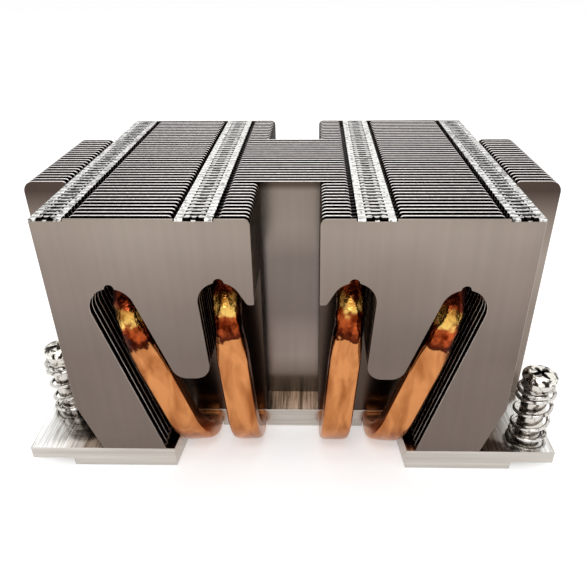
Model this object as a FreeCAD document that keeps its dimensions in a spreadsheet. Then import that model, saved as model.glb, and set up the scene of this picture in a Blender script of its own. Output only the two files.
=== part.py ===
import FreeCAD, Part
import math
import os

import Sketcher

# Passive server processor heatsink for a 2U chassis, in millimetres.
#
# A machined base plate carries four copper heat pipes. Each pipe lies flattened in a channel on
# the underside, turns up through the recess in the front edge, leans outwards, and turns back
# through the stack of folded sheet fins. The first fins are slotted for the risers, the middle
# fins are full width with wings over the ears, and the fins at both ends leave a notch in the
# middle. Four spring-loaded captive screws stand on the ears.
#
# Frame: origin at the bottom centre of the contact face, +X right, +Y to the rear, +Z up.

FIN_ROWS = 44
SLOTTED_ROWS = range(0, 8)
FRONT_ROWS = range(8, 12)
WING_ROWS = range(12, 32)
REAR_ROWS = range(32, FIN_ROWS)
HOLE_SIDES = 6
SCREW_SIDES = 16
SLOT_END_STEPS = 6
PIPE_SIDES = 12
BEND_STEPS = 6
WIRE_SIDES = 5
RING_SIDES = 12
STEPS_PER_TURN = 10

SHEET_ROWS = (
    ("base_length", 118.0, "base plate, left to right over the ears"),
    ("base_depth", 78.0, "base plate and fin stack, front to rear"),
    ("base_thickness", 5.0, "contact face to the top of the base"),
    ("ear_length", 9.35, "end of the base to the pedestal between the ears"),
    ("ear_thickness", 3.1, "ear on either side of the pedestal"),
    ("recess_depth", 14.3, "recess in the front edge for the risers"),
    ("recess_mouth", 52.2, "width of the recess at the front edge"),
    ("recess_back", 49.2, "width of the recess at its back wall"),
    ("recess_corner", 1.5, "corner radius at the back of the recess"),
    ("fin_thickness", 0.4, "fin sheet"),
    ("fin_height", 54.6, "fin above the base"),
    ("block_inset", 12.75, "end of the base to the side of the fin block"),
    ("wing_inset", 2.6, "end of the base to the side of a full-width fin"),
    ("wing_corner", 2.4, "top outer corner radius of a full-width fin"),
    ("notch_width", 12.6, "gap between the left and right half fins"),
    ("notch_corner", 1.2, "top inner corner of a half fin"),
    ("foot_rise", 12.1, "height of the slanted lower outer edge of a half fin"),
    ("foot_inset", 4.05, "inset of that edge at the base"),
    ("outer_flange_width", 6.0, "folded tab row along the outer edge of the block"),
    ("inner_flange_width", 6.8, "folded tab row on either side of the notch"),
    ("inner_flange_reach", 13.0, "middle plane to the inner tab row"),
    ("pipe_diameter", 6.0, "heat pipe where it is round"),
    ("flat_width", 6.6, "flattened heat pipe, across"),
    ("flat_thickness", 4.4, "flattened heat pipe, through"),
    ("bend_radius", 11.2, "centre line radius of both bends"),
    ("riser_setback", 3.2, "front fin face to the riser's centre line"),
    ("pipe_end_inset", 0.6, "rear fin face to the pipe's closed end"),
    ("run_end_inset", 3.0, "rear edge of the base to the lower run's closed end"),
    ("round_length", 5.0, "length over which a riser turns from flat to round"),
    ("solder_gap", 0.05, "solder between a pipe and what it passes through"),
    ("outer_foot_reach", 20.6, "middle plane to an outer lower run"),
    ("outer_head_reach", 34.0, "middle plane to an outer top run"),
    ("outer_head_height", 37.2, "base top to an outer top run's centre"),
    ("inner_foot_reach", 9.7, "middle plane to an inner lower run"),
    ("inner_head_reach", 12.9, "middle plane to an inner top run"),
    ("inner_head_height", 38.6, "base top to an inner top run's centre"),
    ("slot_headroom", 0.3, "pipe to the closed end of its slot"),
    ("outer_slot_radius", 4.5, "closed end of the outer slot"),
    ("inner_slot_radius", 4.3, "closed end of the inner slot"),
    ("outer_slot_slant", 16.5, "outer edge of the outer slot, degrees from upright"),
    ("tongue_slant", 19.8, "inner edge of the outer slot, degrees from upright"),
    ("inner_slot_slant", 3.9, "outer edge of the inner slot, degrees from upright"),
    ("neck_slant", 30.0, "edge of the inner slot towards the notch, degrees from upright"),
    ("neck_drop", 0.5, "centre of the inner slot's closed end to the neck's underside"),
    ("neck_corner", 0.7, "corner radius under the neck"),
    ("tongue_height", 19.6, "base top to the tongue between the slots"),
    ("punch_overshoot", 1.0, "slot punch past the edges of the fin"),
    ("screw_end_inset", 4.6, "end of the base to every screw"),
    ("near_screw_inset", 15.6, "front or rear edge to the nearer screw of a side"),
    ("far_screw_inset", 6.2, "front or rear edge to the farther screw of a side"),
    ("screw_length", 22.0, "captive screw, tip to head"),
    ("tip_height", 0.4, "contact face to the screw tip"),
    ("head_diameter", 7.5, "screw head"),
    ("head_length", 4.4, "screw head"),
    ("shank_diameter", 5.5, "screw shank"),
    ("shank_clearance", 0.15, "shank to the hole in the ear, on the radius"),
    ("groove_diameter", 4.3, "ring groove in the shank"),
    ("tip_diameter", 4.8, "screw below the groove"),
    ("ring_diameter", 8.0, "retaining ring"),
    ("ring_thickness", 0.6, "retaining ring"),
    ("ring_clearance", 0.05, "ring to its groove, all round"),
    ("drive_width", 4.4, "cross recess, across"),
    ("drive_slot", 1.0, "cross recess, width of an arm"),
    ("drive_depth", 1.8, "cross recess"),
    ("spring_diameter", 8.5, "spring over the wire"),
    ("spring_wire", 0.9, "spring wire"),
    ("closed_pitch", 1.0, "rise of a closed end coil in one turn"),
    ("spring_gap", 0.05, "spring to the screw head"),
)

COIL_TURNS = (1.0, 2.8, 1.0)  # closed coil at the foot, open coils, closed coil at the head


# ---- The document and its sheet ------------------------------------------------------------

doc = FreeCAD.newDocument("server_heatsink")
sheet = doc.addObject("Spreadsheet::Sheet", "sizes")


class Size:
    """A length or angle that knows its number and the formula that drives it in the document."""

    def __init__(self, number, formula):
        self.number = number
        self.formula = formula

    def join(self, other, sign, number):
        """A new size: this one and another, joined by an arithmetic sign."""
        right = other.formula if isinstance(other, Size) else repr(other)
        return Size(number, f"({self.formula} {sign} {right})")

    def __add__(self, other):
        return self.join(other, "+", self.number + amount(other))

    def __sub__(self, other):
        return self.join(other, "-", self.number - amount(other))

    def __mul__(self, other):
        return self.join(other, "*", self.number * amount(other))

    def __truediv__(self, other):
        return self.join(other, "/", self.number / amount(other))

    def __neg__(self):
        return Size(-self.number, f"(-1 * {self.formula})")


def amount(value):
    """The plain number of a size or of a number."""
    return value.number if isinstance(value, Size) else value


def sine(angle):
    return Size(math.sin(math.radians(angle.number)), f"sin({angle.formula})")


def cosine(angle):
    return Size(math.cos(math.radians(angle.number)), f"cos({angle.formula})")


def tangent(angle):
    return Size(math.tan(math.radians(angle.number)), f"tan({angle.formula})")


def diagonal(run, rise):
    return Size(math.hypot(run.number, rise.number), f"hypot({run.formula}; {rise.formula})")


class Sizes:
    """The sheet's cells by name."""


size = Sizes()
for line, (alias, number, meaning) in enumerate(SHEET_ROWS, start=1):
    sheet.set(f"A{line}", meaning)
    sheet.set(f"B{line}", str(number))
    sheet.setAlias(f"B{line}", alias)
    setattr(size, alias, Size(number, f"sizes.{alias}"))
doc.recompute()

fin_pitch = (size.base_depth - size.fin_thickness) / (FIN_ROWS - 1)
front_face = -size.base_depth / 2
rear_face = size.base_depth / 2
half_length = size.base_length / 2
ear_underside = size.base_thickness - size.ear_thickness
block_edge = half_length - size.block_inset
screw_reach = half_length - size.screw_end_inset
near_screw_reach = rear_face - size.near_screw_inset
far_screw_reach = rear_face - size.far_screw_inset
pipe_radius = size.pipe_diameter / 2
run_height = size.flat_thickness / 2
riser_line = front_face + size.riser_setback


# ---- Drawing helpers -----------------------------------------------------------------------


def bind(item, prop, value):
    """Drive a property of a document object from the sheet."""
    item.setExpression(prop, value.formula)


def place(item, x=None, y=None, z=None):
    """Drive the parts of an object's position that aren't zero."""
    for axis, value in (("x", x), ("y", y), ("z", z)):
        if value is not None:
            bind(item, f"Placement.Base.{axis}", value)


def add_body(name):
    body = doc.addObject("PartDesign::Body", name)
    body.Label = name
    return body


def add_sketch(body, name, role):
    """A sketch on one of the body's own origin planes: XY_Plane, XZ_Plane or YZ_Plane."""
    sketch = body.newObject("Sketcher::SketchObject", name)
    plane = [item for item in body.Origin.OriginFeatures if item.Role == role][0]
    sketch.AttachmentSupport = [(plane, "")]
    sketch.MapMode = "FlatFace"
    return sketch


def constrain(sketch, kind, *where, value=None):
    """Add a constraint, driven from the sheet where it has a value."""
    if value is None:
        return sketch.addConstraint(Sketcher.Constraint(kind, *where))
    number = math.radians(value.number) if kind == "Angle" else value.number
    index = sketch.addConstraint(Sketcher.Constraint(kind, *where, number))
    sketch.setExpression(f"Constraints[{index}]", value.formula)
    return index


def pin_point(sketch, shape, end, x, y):
    """Hold one point of a sketch at x, y."""
    constrain(sketch, "DistanceX", shape, end, value=x)
    constrain(sketch, "DistanceY", shape, end, value=y)


def unit_towards(start, finish):
    step = finish - start
    return step / step.Length


def draw_outline(sketch, corners):
    """A closed outline, drawn anticlockwise. Each corner is x, y or x, y, radius."""
    spots = [FreeCAD.Vector(corner[0].number, corner[1].number) for corner in corners]
    count = len(corners)
    trims = []
    for number, corner in enumerate(corners):
        spot = spots[number]
        before = unit_towards(spot, spots[number - 1])
        after = unit_towards(spot, spots[(number + 1) % count])
        radius = corner[2].number if len(corner) == 3 else 0.0
        reach = radius / math.tan(before.getAngle(after) / 2)
        trims.append((spot + before * reach, spot + after * reach, before, after, radius))
    edges = []
    for number in range(count):
        start = trims[number][1]
        finish = trims[(number + 1) % count][0]
        edges.append(sketch.addGeometry(Part.LineSegment(start, finish)))
    for number, corner in enumerate(corners):
        edge_in = edges[number - 1]
        edge_out = edges[number]
        if len(corner) == 2:
            constrain(sketch, "Coincident", edge_in, 2, edge_out, 1)
            pin_point(sketch, edge_out, 1, *corner)
        else:
            round_corner(sketch, edge_in, edge_out, spots[number], trims[number], corner)


def round_corner(sketch, edge_in, edge_out, spot, trim, corner):
    """An arc between two lines whose own corner is held at x, y."""
    start, finish, before, after, radius = trim
    inwards = unit_towards(FreeCAD.Vector(), before + after)
    centre_reach = radius / math.sin(before.getAngle(after) / 2)
    middle = spot + inwards * (centre_reach - radius)
    arc = sketch.addGeometry(Part.Arc(start, middle, finish))
    turns_left = before.cross(after).z < 0
    first, last = (1, 2) if turns_left else (2, 1)
    constrain(sketch, "Tangent", edge_in, 2, arc, first)
    constrain(sketch, "Tangent", edge_out, 1, arc, last)
    constrain(sketch, "Radius", arc, value=corner[2])
    held = sketch.addGeometry(Part.Point(spot), True)
    constrain(sketch, "PointOnObject", held, 1, edge_in)
    constrain(sketch, "PointOnObject", held, 1, edge_out)
    pin_point(sketch, held, 1, corner[0], corner[1])


def draw_rectangle(sketch, left, right, bottom, top):
    draw_outline(sketch, [(left, bottom), (right, bottom), (right, top), (left, top)])


def draw_circle(sketch, x, y, radius):
    spot = FreeCAD.Vector(x.number, y.number)
    circle = sketch.addGeometry(Part.Circle(spot, FreeCAD.Vector(0, 0, 1), radius.number))
    pin_point(sketch, circle, 3, x, y)
    constrain(sketch, "Radius", circle, value=radius)


def draw_ring_of_points(sketch, x, y, reach, sides):
    """A regular outline round x, y whose flats lie at the given reach."""
    corner_reach = reach / math.cos(math.pi / sides)
    corners = []
    for side in range(sides):
        angle = 2 * math.pi * (side + 0.5) / sides
        corner_x = x + corner_reach * math.cos(angle)
        corner_y = y + corner_reach * math.sin(angle)
        corners.append((corner_x, corner_y))
    draw_outline(sketch, corners)


def add_pad(body, name, sketch, length, rearwards=False):
    """Pad a sketch. On the XZ plane, rearwards pads towards +Y."""
    pad = body.newObject("PartDesign::Pad", name)
    pad.Profile = sketch
    pad.Reversed = rearwards
    bind(pad, "Length", length)
    return pad


def add_pocket(body, name, sketch, length, upwards=False):
    """Cut a sketch away: to +Y from the XZ plane, and down or upwards from the XY plane."""
    pocket = body.newObject("PartDesign::Pocket", name)
    pocket.Profile = sketch
    pocket.Reversed = upwards
    bind(pocket, "Length", length)
    return pocket


# ---- Base plate ----------------------------------------------------------------------------

SCREW_SPOTS = (
    ("front_left", -screw_reach, -near_screw_reach),
    ("front_right", screw_reach, -far_screw_reach),
    ("rear_left", -screw_reach, far_screw_reach),
    ("rear_right", screw_reach, near_screw_reach),
)

BEVEL_SHARE = 2 - math.sqrt(2)  # of a round corner's radius, for a bevel that touches it
TONGUE_ROUNDING = 0.43  # of the tongue's width, for the radius of its lower corners

PIPE_FEET = (
    -size.outer_foot_reach,
    -size.inner_foot_reach,
    size.inner_foot_reach,
    size.outer_foot_reach,
)


def make_base():
    """Pedestal with thinner ears, a recess in the front edge, pipe channels and screw holes."""
    body = add_body("base_plate")
    section = add_sketch(body, "base_section", "XZ_Plane")
    edge = half_length
    step = half_length - size.ear_length
    floor = Size(0.0, "0")
    section_corners = [
        (-step, floor),
        (step, floor),
        (step, ear_underside),
        (edge, ear_underside),
        (edge, size.base_thickness),
        (-edge, size.base_thickness),
        (-edge, ear_underside),
        (-step, ear_underside),
    ]
    draw_outline(section, section_corners)
    slab = add_pad(body, "base_slab", section, size.base_depth)
    slab.SideType = "Symmetric"

    recess = add_sketch(body, "recess_outline", "XY_Plane")
    back = front_face + size.recess_depth
    recess_corners = [
        (-size.recess_mouth / 2, front_face),
        (size.recess_mouth / 2, front_face),
        (size.recess_back / 2, back, size.recess_corner),
        (-size.recess_back / 2, back, size.recess_corner),
    ]
    draw_outline(recess, recess_corners)
    add_pocket(body, "recess", recess, size.base_thickness, upwards=True)

    channels = add_sketch(body, "channel_sections", "XZ_Plane")
    half = size.flat_width / 2 + size.solder_gap
    crown = size.flat_thickness + size.solder_gap
    bevel = (size.flat_thickness / 2 + size.solder_gap) * BEVEL_SHARE
    for foot in PIPE_FEET:
        channel_corners = [
            (foot - half, floor),
            (foot + half, floor),
            (foot + half, crown - bevel),
            (foot + half - bevel, crown),
            (foot - half + bevel, crown),
            (foot - half, crown - bevel),
        ]
        draw_outline(channels, channel_corners)
    channel = add_pocket(body, "pipe_channels", channels, size.base_depth)
    channel.SideType = "Symmetric"

    holes = add_sketch(body, "screw_holes", "XY_Plane")
    hole_radius = size.shank_diameter / 2 + size.shank_clearance
    for _, x, y in SCREW_SPOTS:
        draw_circle(holes, x, y, hole_radius)
    add_pocket(body, "screw_hole_bores", holes, size.base_thickness, upwards=True)
    return body


# ---- Fins ----------------------------------------------------------------------------------


def draw_half_fin(sketch):
    """Right half fin: slanted foot outside, rounded corner at the notch."""
    inner = size.notch_width / 2
    outer = block_edge
    floor = Size(0.0, "0")
    corners = [
        (inner, floor),
        (outer - size.foot_inset, floor),
        (outer, size.foot_rise),
        (outer, size.fin_height),
        (inner, size.fin_height, size.notch_corner),
    ]
    draw_outline(sketch, corners)


def draw_wing_fin(sketch):
    """Full-width fin with rounded top corners."""
    edge = half_length - size.wing_inset
    floor = Size(0.0, "0")
    corners = [
        (-edge, floor),
        (edge, floor),
        (edge, size.fin_height, size.wing_corner),
        (-edge, size.fin_height, size.wing_corner),
    ]
    draw_outline(sketch, corners)


def draw_flanges(sketch, sides):
    """Sections of the folded top tabs on the given sides, 1 for right and -1 for left."""
    top = size.fin_height
    bottom = size.fin_height - size.fin_thickness
    inner = size.inner_flange_reach
    spans = (
        (block_edge - size.outer_flange_width, block_edge),
        (inner, inner + size.inner_flange_width),
    )
    for side in sides:
        for near, far in spans:
            draw_rectangle(sketch, near * side, far * side, bottom, top)


def draw_pipe_holes(sketch, sides):
    reach = pipe_radius / math.cos(math.pi / PIPE_SIDES) + size.solder_gap
    heads = (
        (size.outer_head_reach, size.outer_head_height),
        (size.inner_head_reach, size.inner_head_height),
    )
    for side in sides:
        for x, z in heads:
            draw_ring_of_points(sketch, x * side, z, reach, HOLE_SIDES)


def make_plain_stamping(name, draw_sheet, sides, folded=True):
    """A fin with pipe holes, its front face on the XZ plane and its tabs folded to the rear."""
    body = add_body(name)
    outline = add_sketch(body, f"{name}_outline", "XZ_Plane")
    draw_sheet(outline)
    add_pad(body, f"{name}_sheet", outline, size.fin_thickness, rearwards=True)
    holes = add_sketch(body, f"{name}_hole_outlines", "XZ_Plane")
    draw_pipe_holes(holes, sides)
    add_pocket(body, f"{name}_holes", holes, size.fin_thickness)
    if folded:
        tabs = add_sketch(body, f"{name}_tab_sections", "XZ_Plane")
        draw_flanges(tabs, sides)
        add_pad(body, f"{name}_tabs", tabs, fin_pitch, rearwards=True)
    return body


def arc_corners(x, z, radius, start, finish):
    """Corners along the round end of a slot, anticlockwise between two angles."""
    corners = []
    for step in range(SLOT_END_STEPS + 1):
        angle = start + (finish - start) * (step / SLOT_END_STEPS)
        corners.append((x + radius * cosine(angle), z + radius * sine(angle)))
    return corners


def draw_slot_punch(sketch):
    """The opening for both risers: two slots with round ends, joined below a tongue."""
    floor = -size.punch_overshoot
    notch = size.notch_width / 2 - size.punch_overshoot
    outer_x = size.outer_head_reach
    inner_x = size.inner_head_reach
    rise = pipe_radius + size.slot_headroom
    outer_z = size.outer_head_height + rise - size.outer_slot_radius
    inner_z = size.inner_head_height + rise - size.inner_slot_radius

    # Where the tongue's slanted edges would meet its underside.
    half_turn = Size(180.0, "180")
    left_x = outer_x - size.outer_slot_radius * cosine(size.tongue_slant)
    left_z = outer_z + size.outer_slot_radius * sine(size.tongue_slant)
    right_x = inner_x + size.inner_slot_radius * cosine(size.inner_slot_slant)
    right_z = inner_z - size.inner_slot_radius * sine(size.inner_slot_slant)
    tongue_outer = left_x - (left_z - size.tongue_height) * tangent(size.tongue_slant)
    tongue_inner = right_x - (right_z - size.tongue_height) * tangent(size.inner_slot_slant)

    tongue_corner = (tongue_outer - tongue_inner) * TONGUE_ROUNDING

    # Where the outer slot's outer edge ends below the fin.
    edge_x = outer_x + size.outer_slot_radius * cosine(size.outer_slot_slant)
    edge_z = outer_z - size.outer_slot_radius * sine(size.outer_slot_slant)
    foot_x = edge_x - (edge_z - floor) * tangent(size.outer_slot_slant)

    outer_end = arc_corners(
        outer_x,
        outer_z,
        size.outer_slot_radius,
        -size.outer_slot_slant,
        half_turn - size.tongue_slant,
    )
    inner_end = arc_corners(
        inner_x,
        inner_z,
        size.inner_slot_radius,
        -size.inner_slot_slant,
        half_turn - size.neck_slant,
    )

    # Where the inner slot's edge towards the notch would meet the neck's underside.
    leave_x = inner_x - size.inner_slot_radius * cosine(size.neck_slant)
    leave_z = inner_z + size.inner_slot_radius * sine(size.neck_slant)
    neck_z = inner_z - size.neck_drop
    neck_x = leave_x - (leave_z - neck_z) * tangent(size.neck_slant)
    path = [
        (notch, floor),
        (foot_x, floor),
        *outer_end,
        (tongue_outer, size.tongue_height, tongue_corner),
        (tongue_inner, size.tongue_height, tongue_corner),
        *inner_end,
        (neck_x, neck_z, size.neck_corner),
        (notch, neck_z),
    ]
    draw_outline(sketch, path)


def make_slotted_stamping(name):
    """Right half fin with the slots for the risers punched out."""
    body = add_body(name)
    outline = add_sketch(body, f"{name}_outline", "XZ_Plane")
    draw_half_fin(outline)
    add_pad(body, f"{name}_sheet", outline, size.fin_thickness, rearwards=True)
    punch = add_sketch(body, f"{name}_punch_outline", "XZ_Plane")
    draw_slot_punch(punch)
    add_pocket(body, f"{name}_slots", punch, size.fin_thickness)
    tabs = add_sketch(body, f"{name}_tab_sections", "XZ_Plane")
    draw_flanges(tabs, (1,))
    add_pad(body, f"{name}_tabs", tabs, fin_pitch, rearwards=True)
    return body


def mirror(stamping, name):
    """The left-hand twin of a right-hand stamping."""
    twin = doc.addObject("Part::Mirroring", name)
    twin.Label = name
    twin.Source = stamping
    twin.Normal = FreeCAD.Vector(1, 0, 0)
    return twin


def add_fin(name, stamping, row):
    """A stamping at its row of the stack, standing on the base."""
    fin = doc.addObject("Part::Compound", name)
    fin.Label = name
    fin.Links = [stamping]
    place(fin, y=front_face + fin_pitch * row, z=size.base_thickness)
    return fin


def add_fin_group(name, stamping, rows, last_stamping=None):
    """Several rows of one stamping, and a last row of another where one is given."""
    fins = [add_fin(f"{name}_row_{row}", stamping, row) for row in rows]
    if last_stamping:
        fins[-1].Links = [last_stamping]
    group = doc.addObject("Part::Compound", name)
    group.Label = name
    group.Links = fins
    return group


def make_fins():
    half_fin = make_plain_stamping("half_fin_right", draw_half_fin, (1,))
    end_fin = make_plain_stamping("end_fin_right", draw_half_fin, (1,), folded=False)
    slotted_fin = make_slotted_stamping("slotted_stamping_right")
    wing_fin = make_plain_stamping("wing_stamping", draw_wing_fin, (1, -1))
    by_side = {
        "right": (half_fin, end_fin, slotted_fin),
        "left": (
            mirror(half_fin, "half_fin_left"),
            mirror(end_fin, "end_fin_left"),
            mirror(slotted_fin, "slotted_stamping_left"),
        ),
    }
    nodes = []
    for side, (half, end, slotted) in by_side.items():
        for row in SLOTTED_ROWS:
            nodes.append(add_fin(f"slotted_fin_{side}_{row + 1:02d}", slotted, row))
        nodes.append(add_fin_group(f"front_fins_{side}", half, FRONT_ROWS))
        nodes.append(add_fin_group(f"rear_fins_{side}", half, REAR_ROWS, end))
    for number, row in enumerate(WING_ROWS, start=1):
        nodes.append(add_fin(f"wing_fin_{number:02d}", wing_fin, row))
    return nodes


# ---- Heat pipes ----------------------------------------------------------------------------


def draw_tube_section(sketch, width, thickness):
    """Round or flattened tube as an outline with PIPE_SIDES corners."""
    shift = (width - thickness) / 2
    reach = thickness / 2 / math.cos(math.pi / PIPE_SIDES)
    corners = []
    for corner in range(PIPE_SIDES):
        angle = 2 * math.pi * (corner + 0.5) / PIPE_SIDES
        across = reach * math.cos(angle)
        across = across + shift if across.number > 0 else across - shift
        corners.append((across, reach * math.sin(angle)))
    draw_outline(sketch, corners)


def add_section(body, spot, turned, roll, flat):
    """A section across the pipe's path, turned up from the run and rolled about the path."""
    rearward, up = spot
    sketch = add_sketch(body, f"{body.Name}_section", "XZ_Plane")
    pitch = FreeCAD.Rotation(FreeCAD.Vector(1, 0, 0), -turned)
    twist = FreeCAD.Rotation(FreeCAD.Vector(0, 0, 1), roll)
    offset = FreeCAD.Vector(0, up.number, -rearward.number)
    sketch.AttachmentOffset = FreeCAD.Placement(offset, pitch * twist)
    bind(sketch, "AttachmentOffset.Base.y", up)
    bind(sketch, "AttachmentOffset.Base.z", -rearward)
    if flat:
        draw_tube_section(sketch, size.flat_width, size.flat_thickness)
    else:
        draw_tube_section(sketch, size.pipe_diameter, size.pipe_diameter)
    return sketch


def bend_spot(centre_height, turned):
    """A point on a bend's centre line after turning from the rearward run."""
    angle = math.radians(turned)
    rearward = riser_line + size.bend_radius - size.bend_radius * math.sin(angle)
    return rearward, centre_height - size.bend_radius * math.cos(angle)


def make_pipe(name, side, foot_reach, head_reach, head_height):
    """One heat pipe in its own leaning plane: +Y to the rear and +Z up along the riser.

    The lower run lies flat in the base, so the flattened section rolls level with the base
    through the lower bend. Above the riser the tube is round.
    """
    body = add_body(name)
    lean_run = head_reach - foot_reach
    lean_rise = size.base_thickness + head_height - run_height
    slant = Size(
        math.degrees(math.atan2(lean_run.number, lean_rise.number)),
        f"atan({lean_run.formula} / {lean_rise.formula})",
    )
    top = diagonal(lean_run, lean_rise)
    round_start = top - size.bend_radius
    level = Size(0.0, "0")
    roll = slant.number * side

    sections = [add_section(body, (rear_face - size.run_end_inset, level), 0, roll, True)]
    for step in range(BEND_STEPS + 1):
        turned = 90 * step / BEND_STEPS
        spot = bend_spot(size.bend_radius, turned)
        sections.append(add_section(body, spot, turned, roll * (1 - turned / 90), True))
    flat_end = (riser_line, round_start - size.round_length)
    sections.append(add_section(body, flat_end, 90, 0, True))
    for step in range(BEND_STEPS + 1):
        turned = 90 + 90 * step / BEND_STEPS
        sections.append(add_section(body, bend_spot(round_start, turned), turned, 0, False))
    sections.append(add_section(body, (rear_face - size.pipe_end_inset, top), 180, 0, False))

    tube = body.newObject("PartDesign::AdditiveLoft", f"{name}_tube")
    tube.Profile = sections[0]
    tube.Sections = sections[1:]
    tube.Ruled = True
    body.Placement.Rotation = FreeCAD.Rotation(FreeCAD.Vector(0, side, 0), slant.number)
    bind(body, "Placement.Rotation.Angle", slant)
    place(body, x=foot_reach * side, z=run_height)
    return body


def make_pipes():
    outer = (size.outer_foot_reach, size.outer_head_reach, size.outer_head_height)
    inner = (size.inner_foot_reach, size.inner_head_reach, size.inner_head_height)
    return [
        make_pipe("outer_heat_pipe_left", -1, *outer),
        make_pipe("inner_heat_pipe_left", -1, *inner),
        make_pipe("inner_heat_pipe_right", 1, *inner),
        make_pipe("outer_heat_pipe_right", 1, *outer),
    ]


# ---- Captive screws ------------------------------------------------------------------------


def make_screw(name, x, y):
    """Headed shank with a ring groove below the ear and a cross recess in the head."""
    body = add_body(name)
    centre = Size(0.0, "0")
    tip = size.tip_height
    top = tip + size.screw_length
    head_underside = top - size.head_length
    groove_floor = ear_underside - size.ring_thickness - size.ring_clearance
    groove_roof = ear_underside + size.ring_clearance
    stages = (
        ("tip", size.tip_diameter, tip, groove_floor),
        ("groove", size.groove_diameter, groove_floor, groove_roof),
        ("shank", size.shank_diameter, groove_roof, head_underside),
        ("head", size.head_diameter, head_underside, top),
    )
    for stage, diameter, start, finish in stages:
        section = add_sketch(body, f"{name}_{stage}_section", "XY_Plane")
        bind(section, "AttachmentOffset.Base.z", start)
        draw_ring_of_points(section, centre, centre, diameter / 2, SCREW_SIDES)
        add_pad(body, f"{name}_{stage}", section, finish - start)

    recess = add_sketch(body, f"{name}_recess_outline", "XY_Plane")
    bind(recess, "AttachmentOffset.Base.z", top)
    arm = size.drive_slot / 2
    reach = size.drive_width / 2
    cross = [
        (reach, -arm),
        (reach, arm),
        (arm, arm),
        (arm, reach),
        (-arm, reach),
        (-arm, arm),
        (-reach, arm),
        (-reach, -arm),
        (-arm, -arm),
        (-arm, -reach),
        (arm, -reach),
        (arm, -arm),
    ]
    draw_outline(recess, cross)
    add_pocket(body, f"{name}_recess", recess, size.drive_depth)
    place(body, x=x, y=y)
    return body


def make_ring(name, x, y):
    """Retaining ring in the screw's groove, against the underside of the ear."""
    body = add_body(name)
    outline = add_sketch(body, f"{name}_outline", "XY_Plane")
    centre = Size(0.0, "0")
    bore_reach = size.groove_diameter / 2 + size.ring_clearance
    draw_ring_of_points(outline, centre, centre, size.ring_diameter / 2, RING_SIDES)
    draw_ring_of_points(outline, centre, centre, bore_reach, RING_SIDES)
    add_pad(body, f"{name}_plate", outline, size.ring_thickness)
    place(body, x=x, y=y, z=ear_underside - size.ring_thickness)
    return body


def spring_height(turn, length, wire, closed_pitch):
    """Height of the wire's centre after a number of turns."""
    closed, opened, _ = COIL_TURNS
    rise = length - wire - closed_pitch * (COIL_TURNS[0] + COIL_TURNS[2])
    in_foot = min(turn, closed)
    in_middle = min(max(turn - closed, 0), opened)
    in_head = max(turn - closed - opened, 0)
    return wire / 2 + (in_foot + in_head) * closed_pitch + in_middle / opened * rise


def make_spring_shape():
    """Compression spring about +Z as a closed faceted tube, from the ear to the screw head."""
    wire = size.spring_wire.number
    coil_radius = (size.spring_diameter.number - wire) / 2
    head_underside = size.tip_height + size.screw_length - size.head_length
    length = (head_underside - size.base_thickness - size.spring_gap).number
    closed_pitch = size.closed_pitch.number
    steps = round(sum(COIL_TURNS) * STEPS_PER_TURN)
    rings = []
    for step in range(steps + 1):
        turn = step / STEPS_PER_TURN
        height = spring_height(turn, length, wire, closed_pitch)
        angle = 2 * math.pi * turn
        outwards = FreeCAD.Vector(math.cos(angle), math.sin(angle), 0)
        centre = outwards * coil_radius + FreeCAD.Vector(0, 0, height)
        ring = []
        for side in range(WIRE_SIDES):
            around = 2 * math.pi * (side + 0.5) / WIRE_SIDES
            lift = FreeCAD.Vector(0, 0, math.sin(around) * wire / 2)
            ring.append(centre + outwards * (math.cos(around) * wire / 2) + lift)
        rings.append(ring)
    faces = [flat_face(rings[0]), flat_face(rings[-1])]
    for ring, following in zip(rings, rings[1:]):
        for side in range(WIRE_SIDES):
            other = (side + 1) % WIRE_SIDES
            faces.append(flat_face([ring[side], ring[other], following[other]]))
            faces.append(flat_face([ring[side], following[other], following[side]]))
    shell = Part.makeShell(faces)
    shell.sewShape()
    return Part.makeSolid(shell)


def flat_face(corners):
    return Part.Face(Part.makePolygon(corners + corners[:1]))


def make_spring(name, shape, x, y):
    spring = doc.addObject("Part::Feature", name)
    spring.Label = name
    spring.Shape = shape
    place(spring, x=x, y=y, z=size.base_thickness)
    return spring


def make_fasteners():
    spring_shape = make_spring_shape()
    nodes = []
    for spot, x, y in SCREW_SPOTS:
        nodes.append(make_screw(f"captive_screw_{spot}", x, y))
        nodes.append(make_ring(f"retaining_ring_{spot}", x, y))
        nodes.append(make_spring(f"screw_spring_{spot}", spring_shape, x, y))
    return nodes


# ---- Build, check and write ----------------------------------------------------------------


def check(nodes):
    """Stop if an object failed or a sub-part has no valid solid."""
    for item in doc.Objects:
        if "Invalid" in item.State or "Error" in item.State:
            raise RuntimeError(f"{item.Label} did not build: {item.State}")
    for node in nodes:
        if node.Shape.isNull() or not node.Shape.isValid() or not node.Shape.Solids:
            raise RuntimeError(f"{node.Label} has no valid solid")


def write(nodes):
    os.makedirs("parts", exist_ok=True)
    for node in nodes:
        node.Shape.exportStep(f"parts/{node.Label}.step")


heatsink_nodes = [make_base(), *make_fins(), *make_pipes(), *make_fasteners()]
doc.recompute()
check(heatsink_nodes)
write(heatsink_nodes)
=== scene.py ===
import math

import bmesh
import bpy
from mathutils import Matrix, Vector, noise
from mathutils.geometry import tessellate_polygon


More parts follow.
